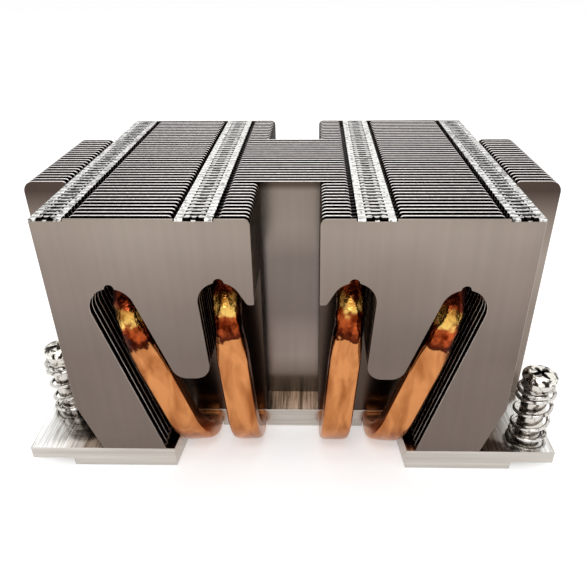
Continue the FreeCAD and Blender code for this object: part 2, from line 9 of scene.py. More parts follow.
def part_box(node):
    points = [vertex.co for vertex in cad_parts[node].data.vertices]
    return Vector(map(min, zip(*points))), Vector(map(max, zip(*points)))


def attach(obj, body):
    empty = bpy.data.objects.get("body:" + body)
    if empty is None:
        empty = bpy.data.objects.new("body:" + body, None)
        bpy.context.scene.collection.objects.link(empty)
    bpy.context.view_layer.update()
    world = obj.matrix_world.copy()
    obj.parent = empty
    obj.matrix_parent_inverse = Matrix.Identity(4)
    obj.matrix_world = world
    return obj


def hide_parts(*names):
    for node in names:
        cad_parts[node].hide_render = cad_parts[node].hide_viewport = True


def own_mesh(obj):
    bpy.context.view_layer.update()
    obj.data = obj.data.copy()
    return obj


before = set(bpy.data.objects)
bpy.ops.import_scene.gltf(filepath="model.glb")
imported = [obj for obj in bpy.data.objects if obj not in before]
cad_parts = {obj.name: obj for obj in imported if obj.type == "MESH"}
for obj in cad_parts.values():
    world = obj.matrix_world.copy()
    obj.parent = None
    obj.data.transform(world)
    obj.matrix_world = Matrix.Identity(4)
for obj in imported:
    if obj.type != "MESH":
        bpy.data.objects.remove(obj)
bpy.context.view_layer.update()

# Passive server processor heatsink. Lengths of the part are millimetres in the row frame:
# +X right, +Y to the rear, +Z up, contact face at Z 0. The studio and the depths of bumps are
# in metres.

MM = 0.001


def low(node):
    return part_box(node)[0] / MM


def high(node):
    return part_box(node)[1] / MM


# ---- Places read from the frame --------------------------------------------------------------

FRONT = low("slotted_fin_left_01").y
PITCH = low("slotted_fin_left_02").y - FRONT
REAR = high("rear_fins_left").y
FOOT = low("wing_fin_01").z
TOP = high("wing_fin_01").z
BLOCK = high("slotted_fin_right_01").x
NOTCH = low("slotted_fin_right_01").x
WING = high("wing_fin_01").x
BASE_EDGE = high("base_plate").x
BASE_TOP = high("base_plate").z
SPOTS = ("front_left", "front_right", "rear_left", "rear_right")


# ---- Sizes and rows --------------------------------------------------------------------------

SHEET = 0.4
PIPE_DIAMETER = 6.0
FLAT_WIDTH = 6.6
FLAT_THICKNESS = 4.4
EAR_THICKNESS = 3.1
EAR_LENGTH = 9.35
SHANK_DIAMETER = 5.5

# Top runs of the pipes: distance from the middle plane, and height above the fins' foot.
HEAD_OUTER = (34.0, 37.2)
HEAD_INNER = (12.9, 38.6)

# Lower runs of the pipes: distance from the middle plane.
RUN_OUTER = 20.6
RUN_INNER = 9.7

SLOTTED_ROWS = range(0, 8)
FRONT_ROWS = range(8, 12)
WING_ROWS = range(12, 32)
REAR_ROWS = range(32, 44)


# ---- Mesh helpers ----------------------------------------------------------------------------


class Shell:
    """Vertices in millimetres and faces with a material number, gathered into one mesh."""

    def __init__(self):
        self.spots = []
        self.faces = []
        self.marks = []

    def add(self, spots, faces, mark=0):
        """mark is one material number, or a list with one for each face."""
        start = len(self.spots)
        self.spots.extend(tuple(spot) for spot in spots)
        self.faces.extend([start + corner for corner in face] for face in faces)
        self.marks.extend(mark if isinstance(mark, list) else [mark] * len(faces))

    def moved(self, y=0.0, mirrored=False):
        twin = Shell()
        for x, spot_y, z in self.spots:
            twin.spots.append((-x if mirrored else x, spot_y + y, z))
        for face in self.faces:
            twin.faces.append(list(reversed(face)) if mirrored else list(face))
        twin.marks = list(self.marks)
        return twin

    def join(self, other):
        start = len(self.spots)
        self.spots.extend(other.spots)
        for face in other.faces:
            self.faces.append([start + corner for corner in face])
        self.marks.extend(other.marks)

    def piece(self, name, materials, sharp=30.0):
        mesh = bpy.data.meshes.new(name)
        spots = [(x * MM, y * MM, z * MM) for x, y, z in self.spots]
        mesh.from_pydata(spots, [], self.faces)
        mesh.update()
        for material in materials:
            mesh.materials.append(material)
        mesh.polygons.foreach_set("material_index", self.marks)
        mesh.polygons.foreach_set("use_smooth", [True] * len(self.faces))
        mesh.set_sharp_from_angle(angle=math.radians(sharp))
        item = bpy.data.objects.new(name, mesh)
        bpy.context.scene.collection.objects.link(item)
        return item


def area(loop):
    total = 0.0
    for (x1, z1), (x2, z2) in zip(loop, loop[1:] + loop[:1]):
        total += x1 * z2 - x2 * z1
    return total / 2


def wound(loop, anticlockwise=True):
    return loop if (area(loop) > 0) == anticlockwise else loop[::-1]


def shrunk(loop, inset):
    """Each corner moved to the left of the walking direction by the inset."""
    moved = []
    count = len(loop)
    for number in range(count):
        before = Vector(loop[number - 1])
        spot = Vector(loop[number])
        after = Vector(loop[(number + 1) % count])
        a = (spot - before).normalized()
        b = (after - spot).normalized()
        left = Vector((-a.y, a.x)) + Vector((-b.y, b.x))
        if left.length < 1e-6:
            left = Vector((-a.y, a.x))
        left.normalize()
        reach = inset / max(0.5, left.dot(Vector((-a.y, a.x))))
        moved.append(tuple(spot + left * reach))
    return moved


def arc(x, z, radius, start, finish, steps):
    spots = []
    for step in range(steps + 1):
        angle = math.radians(start + (finish - start) * step / steps)
        spots.append((x + radius * math.cos(angle), z + radius * math.sin(angle)))
    return spots


def rounded(corners, steps=6):
    """An outline from corners given as x, z or x, z, radius."""
    outline = []
    count = len(corners)
    for number, corner in enumerate(corners):
        if len(corner) == 2:
            outline.append(corner)
            continue
        spot = Vector(corner[:2])
        before = (Vector(corners[number - 1][:2]) - spot).normalized()
        after = (Vector(corners[(number + 1) % count][:2]) - spot).normalized()
        half = before.angle(after) / 2
        reach = corner[2] / math.tan(half)
        first = spot + before * reach
        last = spot + after * reach
        centre = spot + (before + after).normalized() * (corner[2] / math.sin(half))
        turn = (first - centre).angle_signed(last - centre)
        for step in range(steps + 1):
            angle = -turn * step / steps
            arm = first - centre
            arm = Vector(
                (
                    arm.x * math.cos(angle) - arm.y * math.sin(angle),
                    arm.x * math.sin(angle) + arm.y * math.cos(angle),
                )
            )
            outline.append(tuple(centre + arm))
    return outline


def facing_triangles(loops):
    """The corners of flat loops in one list, and anticlockwise triangles between them."""
    flat = [spot for loop in loops for spot in loop]
    triangles = []
    for triangle in tessellate_polygon([[Vector((u, v, 0)) for u, v in loop] for loop in loops]):
        (a, b), (c, d), (e, f) = (flat[corner] for corner in triangle)
        turned = (c - a) * (f - b) - (e - a) * (d - b)
        triangles.append(tuple(triangle) if turned > 0 else tuple(reversed(triangle)))
    return flat, triangles


def prism_faces(count):
    """Faces of a prism whose first ring of corners is followed by its second."""
    faces = [tuple(range(count))[::-1], tuple(range(count, 2 * count))]
    for number in range(count):
        following = (number + 1) % count
        faces.append((number, following, count + following, count + number))
    return faces


def tube_faces(rings, sides):
    """The wall of a tube whose rings of corners follow one another."""
    faces = []
    for ring in range(rings - 1):
        a, b = ring * sides, (ring + 1) * sides
        for side in range(sides):
            following = (side + 1) % sides
            faces.append((a + side, b + side, b + following, a + following))
    return faces


def upright(u, v, depth):
    """A sheet that faces -Y."""
    return (u, depth, v)


def lying(u, v, depth):
    """A sheet that lies flat."""
    return (u, v, depth)


LIP_DEPTH = 2.0
LIP_RIM = 0.3


def rim_mark(start, end, face_mark, edge_mark, side_mark):
    """Steep rims take side_mark, rims just below the top take face_mark and its painted shade, others
    edge_mark.
    """
    if abs(end[1] - start[1]) > abs(end[0] - start[0]):
        return side_mark
    if TOP - LIP_DEPTH < max(start[1], end[1]) < TOP - LIP_RIM:
        return face_mark
    return edge_mark


def plate(shell, outer, holes, front, thickness, bevel, marks, lift=upright):
    """A flat plate with bevelled rims, whose outline lies across its thickness.

    marks are the material numbers of its faces, its rims and its steep rims.
    lift turns (u, v, depth) into x, y, z.
    """
    loops = [wound(outer)] + [wound(hole, False) for hole in holes]
    inner = [shrunk(loop, bevel) for loop in loops]
    flat, facing = facing_triangles(inner)
    rear = front + thickness
    shell.add([lift(u, v, front) for u, v in flat], facing, marks[0])
    back_faces = [tuple(reversed(face)) for face in facing]
    shell.add([lift(u, v, rear) for u, v in flat], back_faces, marks[0])
    for loop, narrow in zip(loops, inner):
        count = len(loop)
        spots = [lift(u, v, front) for u, v in narrow]
        spots += [lift(u, v, front + bevel) for u, v in loop]
        spots += [lift(u, v, rear - bevel) for u, v in loop]
        spots += [lift(u, v, rear) for u, v in narrow]
        walls = []
        wall_marks = []
        for level in range(3):
            for number in range(count):
                following = (number + 1) % count
                a, b = level * count, (level + 1) * count
                walls.append((a + following, a + number, b + number, b + following))
                wall_marks.append(rim_mark(loop[number], loop[following], *marks))
        shell.add(spots, walls, wall_marks)


# ---- Materials -------------------------------------------------------------------------------


def linear(red, green, blue):
    values = []
    for value in (red, green, blue):
        share = value / 255
        values.append(share / 12.92 if share <= 0.04045 else ((share + 0.055) / 1.055) ** 2.4)
    return (*values, 1.0)


class Look:
    """A principled material with helpers for its node tree."""

    def __init__(self, name, metallic=1.0, roughness=0.4, **sockets):
        self.material = bpy.data.materials.new(name)
        self.material.use_nodes = True
        self.nodes = self.material.node_tree.nodes
        self.links = self.material.node_tree.links
        self.shader = self.nodes["Principled BSDF"]
        self.shader.inputs["Metallic"].default_value = metallic
        self.shader.inputs["Roughness"].default_value = roughness
        for socket, value in sockets.items():
            self.shader.inputs[socket.replace("_", " ")].default_value = value
        self.place = self.nodes.new("ShaderNodeTexCoord")

    def stretch(self, x, y, z, turn=(0, 0, 0)):
        mapping = self.nodes.new("ShaderNodeMapping")
        mapping.inputs["Scale"].default_value = (x, y, z)
        mapping.inputs["Rotation"].default_value = [math.radians(angle) for angle in turn]
        self.links.new(self.place.outputs["Object"], mapping.inputs["Vector"])
        return mapping.outputs["Vector"]

    def grain(self, vector, scale, detail=3.0, roughness=0.55, distortion=0.0):
        texture = self.nodes.new("ShaderNodeTexNoise")
        texture.inputs["Scale"].default_value = scale
        texture.inputs["Detail"].default_value = detail
        texture.inputs["Roughness"].default_value = roughness
        texture.inputs["Distortion"].default_value = distortion
        self.links.new(vector, texture.inputs["Vector"])
        return texture.outputs["Fac"]

    def ramp(self, value, *stops):
        ramp = self.nodes.new("ShaderNodeValToRGB")
        elements = ramp.color_ramp.elements
        elements.remove(elements[1])
        elements[0].position, elements[0].color = stops[0]
        for place, colour in stops[1:]:
            elements.new(place).color = colour
        self.links.new(value, ramp.inputs["Fac"])
        return ramp.outputs["Color"]

    def between(self, value, low_in, high_in, low_out, high_out):
        span = self.nodes.new("ShaderNodeMapRange")
        span.inputs["From Min"].default_value = low_in
        span.inputs["From Max"].default_value = high_in
        span.inputs["To Min"].default_value = low_out
        span.inputs["To Max"].default_value = high_out
        self.links.new(value, span.inputs["Value"])
        return span.outputs["Result"]

    def mix(self, share, first, second, kind="MIX"):
        blend = self.nodes.new("ShaderNodeMix")
        blend.data_type = "RGBA"
        blend.blend_type = kind
        for socket, value in (("Factor", share), ("A", first), ("B", second)):
            target = next(s for s in blend.inputs if s.name == socket and s.enabled)
            if isinstance(value, (float, tuple)):
                target.default_value = value
            else:
                self.links.new(value, target)
        return next(s for s in blend.outputs if s.enabled)

    def coordinate(self, axis):
        split = self.nodes.new("ShaderNodeSeparateXYZ")
        self.links.new(self.place.outputs["Object"], split.inputs["Vector"])
        return split.outputs[axis]

    def calculate(self, operation, *values):
        node = self.nodes.new("ShaderNodeMath")
        node.operation = operation
        for socket, value in zip(node.inputs, values):
            self.links.new(value, socket)
        return node.outputs["Value"]

    def height(self):
        return self.coordinate("Z")

    def off_middle(self):
        return self.calculate("ABSOLUTE", self.coordinate("X"))

    def sum(self, first, second):
        return self.calculate("ADD", first, second)

    def colour(self, value):
        self.links.new(value, self.shader.inputs["Base Color"])

    def rough(self, value):
        self.links.new(value, self.shader.inputs["Roughness"])

    def bump(self, value, distance, strength=1.0):
        bump = self.nodes.new("ShaderNodeBump")
        bump.inputs["Distance"].default_value = distance
        bump.inputs["Strength"].default_value = strength
        self.links.new(value, bump.inputs["Height"])
        self.links.new(bump.outputs["Normal"], self.shader.inputs["Normal"])


GREY_LOW = (0.42, 0.42, 0.42, 1.0)
GREY_HIGH = (0.58, 0.58, 0.58, 1.0)


def make_sheet_look(name, roughness, tones, middle=None):
    """Rolled aluminium sheet: warm grey and smooth.

    tones are its colours by height, painted shade and painted reflection; middle has those of the part
    between the half fins.
    """
    look = Look(name, metallic=1.0, roughness=roughness)
    streaks = look.grain(look.stretch(700, 700, 20), 1.0, 4.0)
    clouds = look.grain(look.stretch(45, 45, 45), 1.0, 2.0)
    level = look.between(look.height(), 0.0, TOP * MM, 0.0, 1.0)
    # Painted shade and painted reflection: the base colour follows the tones by height.
    height_painted_shade = look.ramp(level, *((height / TOP, linear(*tone)) for height, tone in tones))
    if middle:
        near = look.ramp(level, *((height / TOP, linear(*tone)) for height, tone in middle))
        outward = look.between(look.off_middle(), NOTCH * MM, (NOTCH + 6) * MM, 0.0, 1.0)
        height_painted_shade = look.mix(outward, near, height_painted_shade)
    faint = look.ramp(streaks, (0.3, linear(247, 247, 247)), (0.7, linear(255, 255, 255)))
    worn = look.ramp(clouds, (0.35, linear(243, 242, 241)), (0.65, linear(255, 255, 255)))
    tone = look.mix(1.0, height_painted_shade, faint, "MULTIPLY")
    look.colour(look.mix(1.0, tone, worn, "MULTIPLY"))
    look.rough(look.between(clouds, 0.3, 0.7, roughness - 0.02, roughness + 0.03))
    look.bump(streaks, 0.000004, 0.3)
    return look.material


NEAR_MIDDLE = 24
FAR_MIDDLE = 32


def make_cut_look(name, tones, middle=None):
    """Sheared edges of the sheet, finely scratched; middle gives those near the middle plane darker
    tones, painted shade.
    """
    look = Look(name, metallic=0.9, roughness=0.35)
    scratches = look.grain(look.stretch(1800, 300, 300), 1.0, 3.0)
    tone = look.ramp(scratches, (0.3, linear(*tones[0])), (0.7, linear(*tones[1])))
    # Painted shade: darker tones near the middle plane.
    if middle:
        outward = look.between(look.off_middle(), NEAR_MIDDLE * MM, FAR_MIDDLE * MM, 0.0, 1.0)
        near = look.ramp(scratches, (0.3, linear(*middle[0])), (0.7, linear(*middle[1])))
        tone = look.mix(outward, near, tone)
    look.colour(tone)
    look.rough(look.between(scratches, 0.3, 0.7, 0.28, 0.42))
    return look.material


def make_tab_look():
    """Folded and pressed tabs: bright silver, pitted by the press."""
    look = Look("folded_tab", metallic=1.0, roughness=0.25)
    specks = look.grain(look.stretch(1300, 2000, 1300), 1.0, 2.0)
    dents = look.grain(look.stretch(900, 1200, 900), 1.0, 2.0, 0.5, 0.8)
    outward = look.between(look.off_middle(), 30 * MM, 31 * MM, 0.0, 1.0)
    inner = look.ramp(specks, (0.34, linear(120, 117, 112)), (0.5, linear(236, 235, 230)))
    outer = look.ramp(specks, (0.38, linear(84, 81, 77)), (0.54, linear(222, 221, 218)))
    look.colour(look.mix(outward, inner, outer))
    look.rough(look.between(specks, 0.3, 0.7, 0.2, 0.36))
    look.bump(dents, 0.00016, 0.7)
    return look.material


def make_copper_look():
    """Copper tube: clear orange where it is flattened; hammered at the top bend, with a burn tone, a
    band of painted glint and a dark band of painted shade.
    """
    look = Look("copper_tube", metallic=1.0, roughness=0.22)
    clouds = look.grain(look.stretch(260, 260, 90), 1.0, 3.0, 0.5, 0.5)
    hammer = look.grain(look.stretch(1700, 1700, 1500), 1.0, 2.0, 0.5, 0.4)
    wobble = look.grain(look.stretch(420, 420, 420), 1.0, 2.0)
    wave = look.between(wobble, 0.3, 0.7, -1.1 * MM, 1.1 * MM)
    lean = look.between(look.off_middle(), 0.0, 40 * MM, 0.0, 5.1 * MM)
    level = look.sum(look.height(), look.sum(wave, lean))
    above = look.between(level, 35.1 * MM, 35.5 * MM, 0.0, 1.0)
    plain = look.ramp(clouds, (0.34, linear(150, 87, 45)), (0.6, linear(201, 134, 82)))
    # Up the bend: a dark band of painted shade, the burn tone, a band of painted glint, then the burn
    # tone again.
    burn_glint_and_shade = look.ramp(
        look.between(level, 35 * MM, 45 * MM, 0.0, 1.0),
        (0.0, linear(58, 22, 10)),
        (0.16, linear(84, 32, 15)),
        (0.3, linear(166, 74, 36)),
        (0.5, linear(178, 84, 40)),
        (0.62, linear(246, 204, 112)),
        (0.78, linear(236, 180, 88)),
        (0.9, linear(150, 62, 32)),
        (1.0, linear(110, 42, 20)),
    )
    mottle = look.ramp(wobble, (0.36, linear(160, 130, 110)), (0.58, linear(255, 255, 255)))
    look.colour(look.mix(above, plain, look.mix(1.0, burn_glint_and_shade, mottle, "MULTIPLY")))
    look.rough(look.between(above, 0.0, 1.0, 0.24, 0.13))
    smooth_wall = look.ramp(clouds, (0.3, GREY_LOW), (0.7, GREY_HIGH))
    look.bump(look.mix(above, smooth_wall, hammer), 0.00013, 0.7)
    return look.material


def make_brushed_look():
    """Sawn and brushed edges of the base plate: light and satin."""
    look = Look("brushed_base", metallic=1.0, roughness=0.34)
    strokes = look.grain(look.stretch(30, 1400, 1400), 1.0, 4.0)
    tone = look.ramp(strokes, (0.28, linear(178, 172, 165)), (0.72, linear(208, 203, 196)))
    look.colour(tone)
    look.rough(look.between(strokes, 0.3, 0.7, 0.3, 0.4))
    look.bump(strokes, 0.00001, 0.4)
    return look.material


def make_milled_look():
    """Fly-cut flat faces of the base: nearly a mirror, with slanting cutter lines.

    They carry painted shade near the middle plane and beside the fin block.
    """
    look = Look("milled_top", metallic=1.0, roughness=0.14)
    lines = look.grain(look.stretch(2200, 90, 90, (0, 0, 38)), 1.0, 3.0, 0.6, 0.3)
    # Painted shade: darker within 13 mm of the middle plane and beside the fin block.
    outward = look.between(look.off_middle(), 11 * MM, 13 * MM, 0.0, 1.0)
    beside = look.between(look.off_middle(), BLOCK * MM, (BLOCK + 11) * MM, 0.0, 1.0)
    bright = look.ramp(lines, (0.3, linear(176, 168, 158)), (0.6, linear(246, 246, 244)))
    shaded = look.ramp(lines, (0.35, linear(62, 50, 42)), (0.65, linear(118, 104, 92)))
    clean = look.mix(beside, shaded, bright)
    notch_shade_paint = look.ramp(lines, (0.35, linear(78, 68, 56)), (0.65, linear(176, 162, 146)))
    look.colour(look.mix(outward, notch_shade_paint, clean))
    look.rough(look.between(lines, 0.3, 0.7, 0.1, 0.22))
    look.bump(lines, 0.00001, 0.6)
    return look.material


def make_chrome_look(name, dark, bright, share):
    """Bright plating, streaked with dark painted reflection; share is how much of it is dark."""
    look = Look(name, metallic=1.0, roughness=0.12)
    specks = look.grain(look.stretch(620, 620, 460), 1.0, 3.0, 0.6, 0.8)
    # Painted reflection: dark streaks in the plating's colour.
    look.colour(
        look.ramp(specks, (share - 0.05, linear(*dark)), (share + 0.07, linear(*bright)))
    )
    look.rough(look.between(specks, 0.3, 0.7, 0.08, 0.18))
    return look.material


# Tones of the sheets, painted shade and painted reflection by height: the height in mm, and the colour
# as red, green and blue up to 255.
# Front faces: painted shade, darker towards the foot.
FRONT_PAINTED_SHADE = (
    (8, (117, 105, 98)),
    (30, (115, 103, 96)),
    (36, (119, 108, 101)),
    (45, (133, 120, 112)),
    (50, (139, 127, 118)),
    (57, (151, 139, 129)),
)
# Wing fins: painted reflection, a dark band under the top.
WING_PAINTED_SHADE = (
    (8, (128, 116, 107)),
    (30, (138, 127, 118)),
    (42, (156, 145, 136)),
    (50, (140, 129, 119)),
    (54, (112, 100, 93)),
    (57.5, (76, 64, 58)),
)
# Notch: painted shade, darker at the foot and at mid-height, with a dark band under the top edge.
NOTCH_PAINTED_SHADE = (
    (9, (120, 106, 96)),
    (16, (146, 133, 126)),
    (22, (138, 125, 119)),
    (28, (118, 107, 102)),
    (42, (118, 107, 102)),
    (50, (138, 127, 118)),
    (57.5, (136, 124, 115)),
    (58.8, (84, 72, 64)),
)
# Painted shade on the faces of the inner fins, darkest towards the top.
INNER_PAINTED_SHADE = ((10, (84, 73, 66)), (44, (70, 60, 54)), (54, (46, 38, 34)))
SHEET_LOOK = make_sheet_look("rolled_sheet", 0.26, FRONT_PAINTED_SHADE)
WING_LOOK = make_sheet_look("wing_sheet", 0.2, WING_PAINTED_SHADE, NOTCH_PAINTED_SHADE)
INNER_SHADE_LOOK = make_sheet_look("inner_sheet_painted_shade", 0.2, INNER_PAINTED_SHADE)
CUT_LOOK = make_cut_look("sheared_edge", ((214, 206, 202), (250, 244, 240)))
# Steep sheared edges, in the slots and the notch, get darker tones than the others, painted shade;
# darker still near the middle plane.
SIDE_LOOK = make_cut_look(
    "sheared_side", ((168, 158, 150), (214, 205, 198)), ((66, 54, 45), (124, 108, 94))
)
TAB_LOOK = make_tab_look()
COPPER_LOOK = make_copper_look()
BASE_LOOK = make_brushed_look()
MILLED_LOOK = make_milled_look()
# Dark streaks of the plated parts are painted reflection.
SCREW_LOOK = make_chrome_look("plated_screw", (86, 78, 70), (206, 201, 194), 0.42)
HEAD_LOOK = make_chrome_look("plated_head", (40, 30, 22), (244, 240, 230), 0.47)
SPRING_LOOK = make_chrome_look("spring_wire", (100, 92, 86), (218, 214, 209), 0.42)
RING_LOOK = make_chrome_look("ring_plating", (150, 144, 138), (204, 200, 196), 0.45)
# Faces of the inner fins and the last place of every list are painted shade.
FRONT_FIN_LOOKS = [SHEET_LOOK, SHEET_LOOK, TAB_LOOK, SIDE_LOOK, SHEET_LOOK, INNER_SHADE_LOOK]
INNER_FIN_LOOKS = [INNER_SHADE_LOOK, CUT_LOOK, TAB_LOOK, SIDE_LOOK, SHEET_LOOK, INNER_SHADE_LOOK]
WING_FIN_LOOKS = [WING_LOOK, CUT_LOOK, TAB_LOOK, SIDE_LOOK, SHEET_LOOK, INNER_SHADE_LOOK]
# The last place is painted shade: the dark inner look, on tab rims and window walls.
FACE, CUT, TAB, SIDE, OPEN_FACE, PAINTED_DARK = range(6)  # places in a list of fin looks


# ---- Fins ------------------------------------------------------------------------------------

OUTER_STRIPE = (BLOCK - 6.0, BLOCK)
INNER_STRIPE = (13.0, 19.8)
RIGHT_STRIPES = (OUTER_STRIPE, INNER_STRIPE)
BOTH_STRIPES = (*RIGHT_STRIPES, *((-far, -near) for near, far in RIGHT_STRIPES))
BEND = 0.45  # outer radius of a tab's fold
RELIEF = 0.75  # cut beside a tab
RELIEF_DEPTH = 0.85
LINE_END = 0.8  # round end of the top edge beside a tab
EDGE_STRIP = 1.4  # tab's edge to its window
WINDOW_END = 0.88
TAB_GAP = 0.03  # tab to the next sheet
PRONG = 0.44
PRONG_GAP = 0.44
HOOK = 0.4
SPIKE = 0.62
SPIKE_HALF = 0.3
RIM = 0.05
TAB_RIM = 0.03
FOOT_INSET = 4.05
FOOT_RISE = 12.1
NOTCH_CORNER = 1.2
WING_CORNER = 2.4
END_CORNER = 0.6
OUTER_SLOT_RADIUS = 4.5
INNER_SLOT_RADIUS = 4.3
SLOT_HEADROOM = 0.3  # pipe to the round end of its slot
OUTER_SLANT = 16.5  # edges of the slots, in degrees from upright
TONGUE_SLANT = 19.8
INNER_SLANT = 3.9
NECK_SLANT = 30
NECK_DROP = 0.5
NECK_CORNER = 0.8
TONGUE_HEIGHT = 19.6
TONGUE_CORNER = 3.15
KEYHOLE_RADIUS = 1.0
KEYHOLE_OVERLAP = 0.15
HOLE_RADIUS = 3.08


def top_edge(stripes, start, finish, straight=False):
    """The top edge from start to finish, right to left, dipping under each tab."""
    gap, depth, turn = (0.2, BEND, 0.15) if straight else (RELIEF, RELIEF_DEPTH, LINE_END)
    spots = []
    for left, right in sorted(stripes, reverse=True):
        if right < start - 0.01:
            spots += arc(right + gap + turn, TOP - turn, turn, 90, 180, 4)
            spots += [(right + gap, TOP - depth), (right, TOP - depth)]
        spots += [(right, TOP - BEND), (left, TOP - BEND)]
        if left > finish + 0.01:
            spots += [(left, TOP - depth), (left - gap, TOP - depth)]
            spots += arc(left - gap - turn, TOP - turn, turn, 0, 90, 4)
    return spots


def lower_edge():
    """Both ends of the slanted lower outer edge of a half fin."""
    return [(BLOCK - FOOT_INSET, FOOT), (BLOCK, FOOT + FOOT_RISE)]


def notch_corner():
    return arc(NOTCH + NOTCH_CORNER, TOP - NOTCH_CORNER, NOTCH_CORNER, 90, 180, 6)


def half_outline(tabs=True):
    spots = [(NOTCH, FOOT), *lower_edge()]
    if tabs:
        spots += top_edge(RIGHT_STRIPES, BLOCK, NOTCH)
    else:
        spots += arc(BLOCK - END_CORNER, TOP - END_CORNER, END_CORNER, 0, 90, 3)
    return spots + notch_corner()


def wing_outline():
    spots = [(-WING, FOOT), (WING, FOOT)]
    spots += arc(WING - WING_CORNER, TOP - WING_CORNER, WING_CORNER, 0, 90, 8)
    spots += top_edge(BOTH_STRIPES, WING, -WING)
    spots += arc(-WING + WING_CORNER, TOP - WING_CORNER, WING_CORNER, 90, 180, 8)
    return spots


def keyhole_arc(x, z, radius, start, finish):
    """The round end of a slot with a small relief hole at its top."""
    small = KEYHOLE_RADIUS
    rise = radius - KEYHOLE_OVERLAP
    meet_z = (radius**2 - small**2 + rise**2) / (2 * rise)
    meet_x = math.sqrt(radius**2 - meet_z**2)
    meet = math.degrees(math.atan2(meet_z, meet_x))
    small_meet = math.degrees(math.atan2(meet_z - rise, meet_x))
    spots = arc(x, z, radius, start, meet, 12)
    spots += arc(x, z + rise, small, small_meet, 180 - small_meet, 10)
    spots += arc(x, z, radius, 180 - meet, finish, 12)
    return spots


def slanted(spot, z, slant):
    """Where an edge through the spot, leaning out upwards by the slant, meets the height z."""
    return spot[0] - (spot[1] - z) * math.tan(math.radians(slant))


def slot_centre(head, radius):
    """Height of the centre of a slot's round end, around the pipe whose top run is at head."""
    return FOOT + head[1] + PIPE_DIAMETER / 2 + SLOT_HEADROOM - radius


def slot_end(head, radius, start, finish):
    return keyhole_arc(head[0], slot_centre(head, radius), radius, start, finish)


def slotted_outline(first=False):
    """The half fin with both slots, drawn as one outline."""
    outer_end = slot_end(HEAD_OUTER, OUTER_SLOT_RADIUS, -OUTER_SLANT, 180 - TONGUE_SLANT)
    inner_end = slot_end(HEAD_INNER, INNER_SLOT_RADIUS, -INNER_SLANT, 180 - NECK_SLANT)
    neck_z = slot_centre(HEAD_INNER, INNER_SLOT_RADIUS) - NECK_DROP
    neck_x = slanted(inner_end[-1], neck_z, NECK_SLANT)
    neck = rounded(
        [
            (NOTCH, neck_z + 5),
            (NOTCH, neck_z, 0.3),
            (neck_x, neck_z, NECK_CORNER),
            inner_end[-1],
        ],
        5,
    )[1:-1]
    foot_x = slanted(outer_end[0], FOOT, OUTER_SLANT)
    tongue_z = FOOT + TONGUE_HEIGHT
    tongue_outer = slanted(outer_end[-1], tongue_z, TONGUE_SLANT)
    tongue_inner = slanted(inner_end[0], tongue_z, INNER_SLANT)
    tongue = rounded(
        [
            outer_end[-1],
            (tongue_outer, tongue_z, TONGUE_CORNER),
            (tongue_inner, tongue_z, TONGUE_CORNER),
            inner_end[0],
        ],
        8,
    )[1:-1]
    # From the neck at the notch, round both slots, to the foot.
    path = neck + inner_end[::-1] + tongue[::-1] + outer_end[::-1]
    path += [(foot_x, FOOT), *lower_edge()]
    path += top_edge(RIGHT_STRIPES, BLOCK, NOTCH, first)
    return path + notch_corner()


def pipe_holes(sides):
    holes = []
    for side in sides:
        for x, rise in (HEAD_OUTER, HEAD_INNER):
            holes.append(arc(x * side, FOOT + rise, HOLE_RADIUS, 0, 345, 23))
    return holes


def bend_strip(shell, left, right, bent=90):
    """The tab's root: it rises with the sheet and folds to the rear."""
    steps = 4
    outside, inside = [], []
    reach = BEND - SHEET
    for step in range(steps + 1):
        angle = math.radians(bent) * step / steps
        back, up = 1 - math.cos(angle), math.sin(angle)
        outside.append((BEND * back, TOP - BEND + BEND * up))
        inside.append((BEND - reach + reach * back, TOP - BEND + reach * up))
    ring = outside + inside[::-1]
    spots = [(left, y, z) for y, z in ring] + [(right, y, z) for y, z in ring]
    shell.add(spots, [tuple(reversed(face)) for face in prism_faces(len(ring))], TAB)


def tab(shell, left, right, prongs=True, spiked=False):
    """A folded tab with a window at its root, whose prongs hook into the next fin's window."""
    centre = (left + right) / 2
    window = (right - left) / 2 - EDGE_STRIP
    end = PITCH - TAB_GAP
    flat = [(left, BEND), (centre - window, BEND), (centre - window, WINDOW_END)]
    if spiked:
        for spike in (centre - SPIKE, centre + SPIKE):
            flat += [
                (spike - SPIKE_HALF, WINDOW_END),
                (spike, end - 0.08),
                (spike + SPIKE_HALF, WINDOW_END),
            ]
    flat += [
        (centre + window, WINDOW_END),
        (centre + window, BEND),
        (right, BEND),
        (right, end),
    ]
    if prongs:
        near, far = HOOK + PRONG_GAP, window - 0.22
        tip = PITCH + PRONG
        flat += [
            (centre + far, end),
            (centre + far - 0.2, tip),
            (centre + near + 0.1, tip),
            (centre + near, end),
            (centre - near, end),
            (centre - near - 0.1, tip),
            (centre - far + 0.2, tip),
            (centre - far, end),
        ]
    flat.append((left, end))
    # Tab rims and window walls take painted shade.
    plate(shell, flat, [], TOP - SHEET, SHEET, TAB_RIM, (TAB, PAINTED_DARK, PAINTED_DARK), lying)
    bend_strip(shell, left, centre - window)
    bend_strip(shell, centre + window, right)
    bend_strip(shell, centre - HOOK, centre + HOOK, 36)


def fin_shell(outline, holes, stripes, prongs=True, spiked=False):
    shell = Shell()
    plate(shell, outline, holes, 0.0, SHEET, RIM, (FACE, CUT, SIDE))
    for left, right in stripes:
        tab(shell, left, right, prongs, spiked)
    return shell


def finished(item, *nodes, body="heatsink", slot=None):
    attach(item, body)
    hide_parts(*nodes)
    return item


